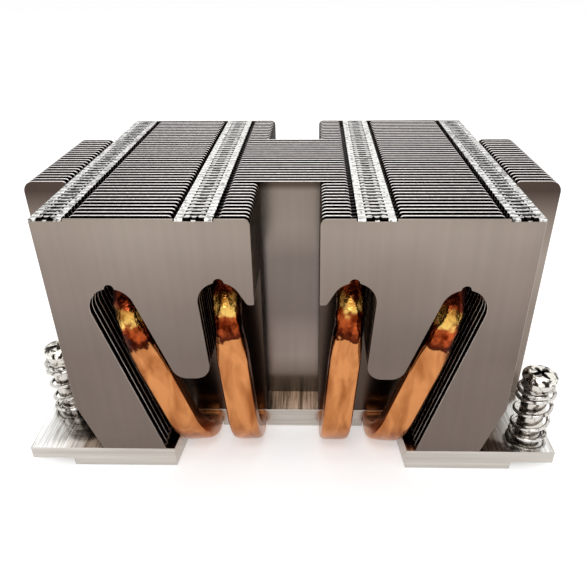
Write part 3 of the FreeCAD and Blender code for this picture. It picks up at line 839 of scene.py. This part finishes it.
def make_fins():
    slotted = fin_shell(slotted_outline(), [], RIGHT_STRIPES)
    first = fin_shell(slotted_outline(first=True), [], RIGHT_STRIPES, spiked=True)
    half = fin_shell(half_outline(), pipe_holes((1,)), RIGHT_STRIPES)
    half_last = fin_shell(half_outline(), pipe_holes((1,)), RIGHT_STRIPES, prongs=False)
    end = fin_shell(half_outline(tabs=False), pipe_holes((1,)), ())
    wing = fin_shell(wing_outline(), pipe_holes((1, -1)), BOTH_STRIPES)
    for side, mirrored in (("right", False), ("left", True)):
        for row in SLOTTED_ROWS:
            node = f"slotted_fin_{side}_{row + 1:02d}"
            shell = (slotted if row else first).moved(FRONT + PITCH * row, mirrored)
            looks = INNER_FIN_LOOKS if row else FRONT_FIN_LOOKS
            finished(shell.piece(f"dressed_{node}", looks), node, slot="fin_aluminium")
        for node, rows in ((f"front_fins_{side}", FRONT_ROWS), (f"rear_fins_{side}", REAR_ROWS)):
            group = Shell()
            for row in rows:
                stamping = half
                if row == REAR_ROWS[-1]:
                    stamping = end
                elif row == REAR_ROWS[-2]:
                    stamping = half_last
                fin = stamping.moved(FRONT + PITCH * row, mirrored)
                if row == REAR_ROWS[-1]:
                    fin.marks = [OPEN_FACE if mark == FACE else mark for mark in fin.marks]
                group.join(fin)
            finished(group.piece(f"dressed_{node}", INNER_FIN_LOOKS), node, slot="fin_aluminium")
    for number, row in enumerate(WING_ROWS, start=1):
        node = f"wing_fin_{number:02d}"
        shell = wing.moved(FRONT + PITCH * row)
        looks = WING_FIN_LOOKS if row in (WING_ROWS[0], WING_ROWS[-1]) else INNER_FIN_LOOKS
        finished(shell.piece(f"dressed_{node}", looks), node, slot="fin_aluminium")


# ---- Heat pipes ------------------------------------------------------------------------------

BEND_RADIUS = 11.2
RISER_LINE = FRONT + 3.2
RUN_HEIGHT = FLAT_THICKNESS / 2
RUN_END_INSET = 3.0
TOP_END_INSET = 0.6
ROUND_START = 5.0  # below the top bend, where a riser starts to turn round
ROUND_LENGTH = 9.0
DENT_DEPTH = 0.256
PIPE_SIDES = 48


def stadium(width, thickness, roundness):
    """Section outline: from a flattened tube (0) to a round one (1)."""
    wide = width + (PIPE_DIAMETER - width) * roundness
    thick = thickness + (PIPE_DIAMETER - thickness) * roundness
    power = 0.4 + 0.6 * roundness
    spots = []
    for side in range(PIPE_SIDES):
        angle = 2 * math.pi * side / PIPE_SIDES
        across = math.copysign(abs(math.cos(angle)) ** power, math.cos(angle)) * wide / 2
        through = math.copysign(abs(math.sin(angle)) ** power, math.sin(angle)) * thick / 2
        spots.append((across, through))
    return spots


def smooth(share):
    share = min(max(share, 0.0), 1.0)
    return share * share * (3 - 2 * share)


def pipe_path(top):
    """Stations in the leaning plane: rearward, up, degrees turned."""
    stations = []
    rear = REAR - RUN_END_INSET
    bend_back = RISER_LINE + BEND_RADIUS
    for step in range(25):
        stations.append((rear + (bend_back - rear) * step / 24, 0.0, 0.0))
    for step in range(1, 25):
        turned = 90 * step / 24
        angle = math.radians(turned)
        stations.append(
            (bend_back - BEND_RADIUS * math.sin(angle), BEND_RADIUS * (1 - math.cos(angle)), turned)
        )
    riser_top = top - BEND_RADIUS
    for step in range(1, 31):
        stations.append((RISER_LINE, BEND_RADIUS + (riser_top - BEND_RADIUS) * step / 30, 90.0))
    for step in range(1, 33):
        turned = 90 + 90 * step / 32
        angle = math.radians(turned)
        rearward = bend_back - BEND_RADIUS * math.sin(angle)
        stations.append((rearward, riser_top - BEND_RADIUS * math.cos(angle), turned))
    rear = REAR - TOP_END_INSET
    for step in range(1, 31):
        stations.append((bend_back + (rear - bend_back) * step / 30, top, 180.0))
    return stations


def make_pipe(name, side, foot_x, head_x, head_rise):
    lean_run = head_x - foot_x
    lean_rise = FOOT + head_rise - RUN_HEIGHT
    slant = math.atan2(lean_run, lean_rise)
    top = math.hypot(lean_run, lean_rise)
    lean = Matrix.Rotation(slant * side, 3, "Y")
    origin = Vector((foot_x * side, 0, RUN_HEIGHT))
    shell = Shell()
    spots = []
    stations = pipe_path(top)
    for rearward, up, turned in stations:
        roll = slant * side * (1 - min(turned, 90.0) / 90)
        after_bend = (turned - 90) / 90
        rounding = (up - (top - BEND_RADIUS - ROUND_START)) / ROUND_LENGTH
        roundness = smooth(rounding) if turned >= 90 else 0.0
        outline = stadium(FLAT_WIDTH, FLAT_THICKNESS, roundness)
        angle = math.radians(turned)
        along = Vector((0, -math.cos(angle), math.sin(angle)))
        across = Vector((1, 0, 0))
        through = along.cross(across)
        centre = Vector((0, rearward, up))
        for u, v in outline:
            turned_u = u * math.cos(roll) - v * math.sin(roll)
            turned_v = u * math.sin(roll) + v * math.cos(roll)
            spot = centre + across * turned_u + through * turned_v
            if turned > 88 and up > top - 17:
                push = DENT_DEPTH * smooth(1 - abs(after_bend - 0.35) / 0.6)
                dent = noise.noise(spot * 0.75 + Vector((head_x, side * 5, 0))) - 0.2
                spot += (spot - centre).normalized() * dent * push
            spots.append(spot)
    rings = len(stations)
    faces = tube_faces(rings, PIPE_SIDES)
    placed = [origin + lean @ spot for spot in spots]
    for ring in (0, rings - 1):
        start = ring * PIPE_SIDES
        apex = len(placed)
        placed.append(sum(placed[start : start + PIPE_SIDES], Vector()) / PIPE_SIDES)
        for corner in range(PIPE_SIDES):
            following = (corner + 1) % PIPE_SIDES
            face = (start + corner, start + following, apex)
            faces.append(face if ring == 0 else tuple(reversed(face)))
    shell.add(placed, faces)
    return shell.piece(f"dressed_{name}", [COPPER_LOOK], sharp=50)


def make_pipes():
    for side, word in ((1, "right"), (-1, "left")):
        for kind, foot_x, head in (("outer", RUN_OUTER, HEAD_OUTER), ("inner", RUN_INNER, HEAD_INNER)):
            node = f"{kind}_heat_pipe_{word}"
            finished(make_pipe(node, side, foot_x, *head), node, slot="copper")


# ---- Base plate ------------------------------------------------------------------------------


def prism(name, corners, start, finish, axis="Z"):
    """A straight prism for cutting; corners lie in XY for Z, in XZ for Y."""
    shell = Shell()
    corners = wound(list(corners))
    if axis == "Z":
        spots = [(u, v, start) for u, v in corners] + [(u, v, finish) for u, v in corners]
    else:
        spots = [(u, finish, v) for u, v in corners] + [(u, start, v) for u, v in corners]
    shell.add(spots, prism_faces(len(corners)))
    return shell.piece(name, [])


RECESS_MOUTH = 52.4  # taken 1 mm in front of the base, as its sides draw in
RECESS_BACK = 49.2
RECESS_DEPTH = 14.3
RECESS_CORNER = 1.5
CHANNEL_HALF = 3.36
CHANNEL_CROWN = 4.46
CHANNEL_CORNER = 2.0
CUT_BELOW, CUT_ABOVE = -1, 6  # heights that the cutters pass through


def recess_cutter():
    mouth, back = RECESS_MOUTH / 2, RECESS_BACK / 2
    corners = [
        (-mouth, FRONT - 1),
        (mouth, FRONT - 1),
        (back, FRONT + RECESS_DEPTH, RECESS_CORNER),
        (-back, FRONT + RECESS_DEPTH, RECESS_CORNER),
    ]
    return prism("cut_recess", rounded(corners, 6), CUT_BELOW, CUT_ABOVE)


def channel_cutter(foot_x):
    inset, crown = CHANNEL_HALF - CHANNEL_CORNER, CHANNEL_CROWN - CHANNEL_CORNER
    corners = [(foot_x - CHANNEL_HALF, CUT_BELOW), (foot_x + CHANNEL_HALF, CUT_BELOW)]
    corners += arc(foot_x + inset, crown, CHANNEL_CORNER, 0, 90, 6)
    corners += arc(foot_x - inset, crown, CHANNEL_CORNER, 90, 180, 6)
    return prism("cut_channel", corners, FRONT + 1, REAR + 1, "Y")


def hole_cutter(spot):
    node = f"captive_screw_{spot}"
    centre = (low(node) + high(node)) / 2
    hole = arc(centre.x, centre.y, SHANK_DIAMETER / 2 + 0.15, 0, 352.5, 47)
    return prism("cut_hole", hole, CUT_BELOW, CUT_ABOVE)


def make_base():
    ear = BASE_TOP - EAR_THICKNESS
    pedestal = BASE_EDGE - EAR_LENGTH
    section = [
        (-pedestal, 0),
        (pedestal, 0),
        (pedestal, ear),
        (BASE_EDGE, ear),
        (BASE_EDGE, BASE_TOP),
        (-BASE_EDGE, BASE_TOP),
        (-BASE_EDGE, ear),
        (-pedestal, ear),
    ]
    base = prism("dressed_base_plate", section, FRONT, REAR, "Y")
    cutters = [recess_cutter()]
    cutters += [channel_cutter(x) for x in (-RUN_OUTER, -RUN_INNER, RUN_INNER, RUN_OUTER)]
    cutters += [hole_cutter(spot) for spot in SPOTS]
    for cutter in cutters:
        cut = base.modifiers.new("cut", "BOOLEAN")
        cut.operation = "DIFFERENCE"
        cut.solver = "EXACT"
        cut.object = cutter
    bevel = base.modifiers.new("bevel", "BEVEL")
    bevel.width = 0.22 * MM
    bevel.segments = 2
    bevel.limit_method = "ANGLE"
    bevel.angle_limit = math.radians(40)
    bevel.harden_normals = False
    graph = bpy.context.evaluated_depsgraph_get()
    solid = bpy.data.meshes.new_from_object(base.evaluated_get(graph))
    base.modifiers.clear()
    base.data = solid
    solid.name = "dressed_base_plate"
    for cutter in cutters:
        bpy.data.objects.remove(cutter)
    work = bmesh.new()
    work.from_mesh(solid)
    bmesh.ops.triangulate(work, faces=[face for face in work.faces if len(face.verts) > 4])
    work.to_mesh(solid)
    work.free()
    solid.materials.clear()
    solid.materials.append(BASE_LOOK)
    solid.materials.append(MILLED_LOOK)
    for polygon in solid.polygons:
        polygon.material_index = 1 if abs(polygon.normal.z) > 0.95 else 0
    solid.polygons.foreach_set("use_smooth", [True] * len(solid.polygons))
    solid.set_sharp_from_angle(angle=math.radians(35))
    finished(base, "base_plate", slot="base_aluminium")


# ---- Fasteners -------------------------------------------------------------------------------

ROUND = 48  # sides of a screw
COLLAR_DROP = 3.65  # screw's top to its collar
DRIVE_ARM = 0.45  # cross recess: half the width of an arm
DRIVE_REACH = 1.95
DRIVE_DEPTH = 1.8
DRIVE_TAPER = 0.72
DRIVE_TURN = 20
RING_RADIUS = 4.0
RING_BORE = 2.2
RING_THICKNESS = 0.6
RING_RIM = 0.06
WIRE_RADIUS = 0.45
WIRE_SIDES = 14
COIL_RADIUS = 3.8
CLOSED_TURNS = 1.0
OPEN_TURNS = 2.8
CLOSED_RISE = 1.0  # of a closed turn at either end
COIL_STEPS = 36  # in a turn
SPRING_GAP = 0.05  # spring to the collar


def lathe(shell, profile, x, y, mark=0):
    """A profile of radius, height from the bottom axis point to the top one."""
    spots = []
    rows = []
    for radius, z in profile:
        if radius < 1e-6:
            rows.append([len(spots)])
            spots.append((x, y, z))
            continue
        rows.append(list(range(len(spots), len(spots) + ROUND)))
        for step in range(ROUND):
            angle = 2 * math.pi * step / ROUND
            spots.append((x + radius * math.cos(angle), y + radius * math.sin(angle), z))
    faces = []
    for lower, upper in zip(rows, rows[1:]):
        for step in range(ROUND):
            following = (step + 1) % ROUND
            if len(lower) == 1:
                faces.append((lower[0], upper[following], upper[step]))
            elif len(upper) == 1:
                faces.append((lower[step], lower[following], upper[0]))
            else:
                faces.append((lower[step], lower[following], upper[following], upper[step]))
    shell.add(spots, faces, mark)


def make_screw(spot, x, y):
    shell = Shell()
    bottom = low(f"captive_screw_{spot}").z
    top = high(f"captive_screw_{spot}").z
    ear = BASE_TOP - EAR_THICKNESS
    collar = top - COLLAR_DROP
    profile = [
        (0, bottom),
        (1.7, bottom),
        (2.4, bottom + 0.5),
        (2.4, ear - 0.68),
        (2.15, ear - 0.62),
        (2.15, ear + 0.02),
        (2.75, ear + 0.1),
        (2.75, collar),
        (3.4, collar + 0.05),
        (3.6, collar + 0.2),
        (3.6, collar + 0.45),
        (3.2, collar + 0.65),
        (3.1, top - 1.6),
    ]
    head = [
        (3.1, top - 1.6),
        (3.3, top - 1.5),
        (3.65, top - 1.45),
        (3.75, top - 1.3),
        (3.75, top - 0.8),
        (3.6, top - 0.5),
        (3.2, top - 0.22),
        (2.8, top - 0.08),
        (2.4, top),
    ]
    lathe(shell, profile, x, y)
    lathe(shell, head, x, y, mark=1)
    # Flat top with a cross recess.
    rim = arc(x, y, 2.4, 0, 360 - 360 / ROUND, ROUND - 1)
    arm, reach = DRIVE_ARM, DRIVE_REACH
    cross = []
    for quarter in range(4):
        angle = math.radians(90 * quarter + DRIVE_TURN)
        across, along = math.cos(angle), math.sin(angle)
        for u, v in ((reach, -arm), (reach, arm), (arm, arm)):
            cross.append((x + u * across - v * along, y + u * along + v * across))
    flat, faces = facing_triangles([rim, cross[::-1]])
    shell.add([(u, v, top) for u, v in flat], faces, 1)
    count = len(cross)
    deep = [(x + (u - x) * DRIVE_TAPER, y + (v - y) * DRIVE_TAPER) for u, v in cross]
    walls = []
    for number in range(count):
        following = (number + 1) % count
        walls.append((following, number, count + number, count + following))
    floor = [(u, v, top - DRIVE_DEPTH) for u, v in deep]
    shell.add([(u, v, top) for u, v in cross] + floor, walls)
    shell.add(floor, facing_triangles([deep])[1])
    item = shell.piece(f"dressed_screw_{spot}", [SCREW_LOOK, HEAD_LOOK], sharp=35)
    finished(item, f"captive_screw_{spot}", body=f"screw_{spot}", slot="plated_steel")


def make_ring(spot, x, y):
    """Open retaining ring in the screw's groove."""
    shell = Shell()
    start, finish = 25, 335
    outline = arc(x, y, RING_RADIUS, start, finish, 40) + arc(x, y, RING_BORE, finish, start, 40)
    bottom = low(f"retaining_ring_{spot}").z
    plate(shell, outline, [], bottom, RING_THICKNESS, RING_RIM, (0, 0, 0), lying)
    item = shell.piece(f"dressed_ring_{spot}", [RING_LOOK])
    finished(item, f"retaining_ring_{spot}", body=f"ring_{spot}", slot="ring_steel")


def make_spring(spot, x, y):
    length = high(f"captive_screw_{spot}").z - COLLAR_DROP - SPRING_GAP - BASE_TOP
    steps = round((CLOSED_TURNS * 2 + OPEN_TURNS) * COIL_STEPS)
    open_rise = length - 2 * WIRE_RADIUS - 2 * CLOSED_TURNS * CLOSED_RISE
    spots = []
    for step in range(steps + 1):
        turn = step / COIL_STEPS
        in_ends = min(turn, CLOSED_TURNS) + max(turn - CLOSED_TURNS - OPEN_TURNS, 0)
        in_middle = min(max(turn - CLOSED_TURNS, 0), OPEN_TURNS)
        rise = in_ends * CLOSED_RISE + in_middle / OPEN_TURNS * open_rise
        angle = 2 * math.pi * turn
        out = Vector((math.cos(angle), math.sin(angle), 0))
        centre = Vector((x, y, BASE_TOP + WIRE_RADIUS + rise)) + out * COIL_RADIUS
        for side in range(WIRE_SIDES):
            around = 2 * math.pi * side / WIRE_SIDES
            lift = Vector((0, 0, WIRE_RADIUS * math.sin(around)))
            spots.append(centre + out * WIRE_RADIUS * math.cos(around) + lift)
    faces = tube_faces(steps + 1, WIRE_SIDES)
    last = steps * WIRE_SIDES
    faces.append(tuple(range(WIRE_SIDES)))
    faces.append(tuple(range(last, last + WIRE_SIDES))[::-1])
    shell = Shell()
    shell.add(spots, faces)
    item = shell.piece(f"dressed_spring_{spot}", [SPRING_LOOK], sharp=50)
    finished(item, f"screw_spring_{spot}", slot="spring_steel")
    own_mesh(item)


def make_fasteners():
    for spot in SPOTS:
        node = f"captive_screw_{spot}"
        centre = (low(node) + high(node)) / 2
        make_screw(spot, centre.x, centre.y)
        make_ring(spot, centre.x, centre.y)
        make_spring(spot, centre.x, centre.y)


# ---- Studio ----------------------------------------------------------------------------------


def camera_only(tree, inside, outside):
    """Mix two shaders: inside for camera, glossy and transmission rays, outside for the rest."""
    path = tree.nodes.new("ShaderNodeLightPath")
    first = tree.nodes.new("ShaderNodeMath")
    first.operation = "MAXIMUM"
    second = tree.nodes.new("ShaderNodeMath")
    second.operation = "MAXIMUM"
    mix = tree.nodes.new("ShaderNodeMixShader")
    tree.links.new(path.outputs["Is Camera Ray"], first.inputs[0])
    tree.links.new(path.outputs["Is Glossy Ray"], first.inputs[1])
    tree.links.new(first.outputs[0], second.inputs[0])
    tree.links.new(path.outputs["Is Transmission Ray"], second.inputs[1])
    tree.links.new(second.outputs[0], mix.inputs["Fac"])
    tree.links.new(outside, mix.inputs[1])
    tree.links.new(inside, mix.inputs[2])
    return mix.outputs["Shader"]


FLOOR_GLOW = 0.42  # seen by camera, glossy and transmission rays only
SKY_LIGHT = 0.62  # what lights the part; those rays see white


def make_floor():
    mesh = bpy.data.meshes.new("floor")
    reach = 3.0
    mesh.from_pydata(
        [(-reach, -reach, 0), (reach, -reach, 0), (reach, reach, 0), (-reach, reach, 0)],
        [],
        [(0, 1, 2, 3)],
    )
    floor = bpy.data.objects.new("floor", mesh)
    floor.location.z = -0.0001
    bpy.context.scene.collection.objects.link(floor)
    material = bpy.data.materials.new("pale_floor")
    material.use_nodes = True
    tree = material.node_tree
    shader = tree.nodes["Principled BSDF"]
    shader.inputs["Base Color"].default_value = (0.9, 0.9, 0.9, 1)
    shader.inputs["Roughness"].default_value = 0.9
    shader.inputs["Specular IOR Level"].default_value = 0.0
    glow = tree.nodes.new("ShaderNodeEmission")
    glow.inputs["Strength"].default_value = FLOOR_GLOW
    both = tree.nodes.new("ShaderNodeAddShader")
    tree.links.new(shader.outputs["BSDF"], both.inputs[0])
    tree.links.new(glow.outputs["Emission"], both.inputs[1])
    out = tree.nodes["Material Output"]
    mixed = camera_only(tree, both.outputs["Shader"], shader.outputs["BSDF"])
    tree.links.new(mixed, out.inputs["Surface"])
    mesh.materials.append(material)


def make_world():
    world = bpy.data.worlds.new("studio")
    bpy.context.scene.world = world
    world.use_nodes = True
    tree = world.node_tree
    light = tree.nodes["Background"]
    light.inputs["Color"].default_value = (1, 1, 1, 1)
    light.inputs["Strength"].default_value = SKY_LIGHT
    white = tree.nodes.new("ShaderNodeBackground")
    white.inputs["Color"].default_value = (1, 1, 1, 1)
    white.inputs["Strength"].default_value = 1.0
    out = tree.nodes["World Output"]
    mixed = camera_only(tree, white.outputs["Background"], light.outputs["Background"])
    tree.links.new(mixed, out.inputs["Surface"])


LAMP_AIM = (0, 0, 0.03)


def make_lamp(name, place, aim, width, height, power):
    data = bpy.data.lights.new(name, "AREA")
    data.shape = "RECTANGLE"
    data.size = width
    data.size_y = height
    data.energy = power
    lamp = bpy.data.objects.new(name, data)
    lamp.location = place
    lamp.rotation_mode = "QUATERNION"
    lamp.rotation_quaternion = (Vector(aim) - Vector(place)).to_track_quat("-Z", "Y")
    bpy.context.scene.collection.objects.link(lamp)


def make_camera():
    pitch, yaw, roll = (math.radians(angle) for angle in (31.53, 1.55, 0.51))
    forward = Vector(
        (-math.sin(yaw) * math.cos(pitch), math.cos(yaw) * math.cos(pitch), -math.sin(pitch))
    )
    right = Vector((math.cos(yaw), math.sin(yaw), 0))
    up = right.cross(forward)
    camera_x = right * math.cos(roll) - up * math.sin(roll)
    camera_z = -forward
    camera_y = camera_z.cross(camera_x)
    data = bpy.data.cameras.new("camera")
    camera = bpy.data.objects.new("camera", data)
    turn = Matrix((camera_x, camera_y, camera_z)).transposed().to_4x4()
    camera.matrix_world = Matrix.Translation(Vector((5.48, -140.49, 98.69)) * MM) @ turn
    data.sensor_width = 36
    data.lens = 37.13
    data.shift_x = -0.0150
    data.shift_y = 0.0656
    data.clip_start = 0.001
    data.clip_end = 20
    bpy.context.scene.collection.objects.link(camera)
    bpy.context.scene.camera = camera


make_fins()
make_pipes()
make_base()
make_fasteners()
make_floor()
make_world()
make_lamp("key", place=(-0.05, -0.48, 0.75), aim=LAMP_AIM, width=0.34, height=0.24, power=1.2)
make_lamp("top", place=(0, 0.15, 0.8), aim=LAMP_AIM, width=0.8, height=0.6, power=2.0)
make_camera()

scene = bpy.context.scene
scene.view_settings.view_transform = "Standard"
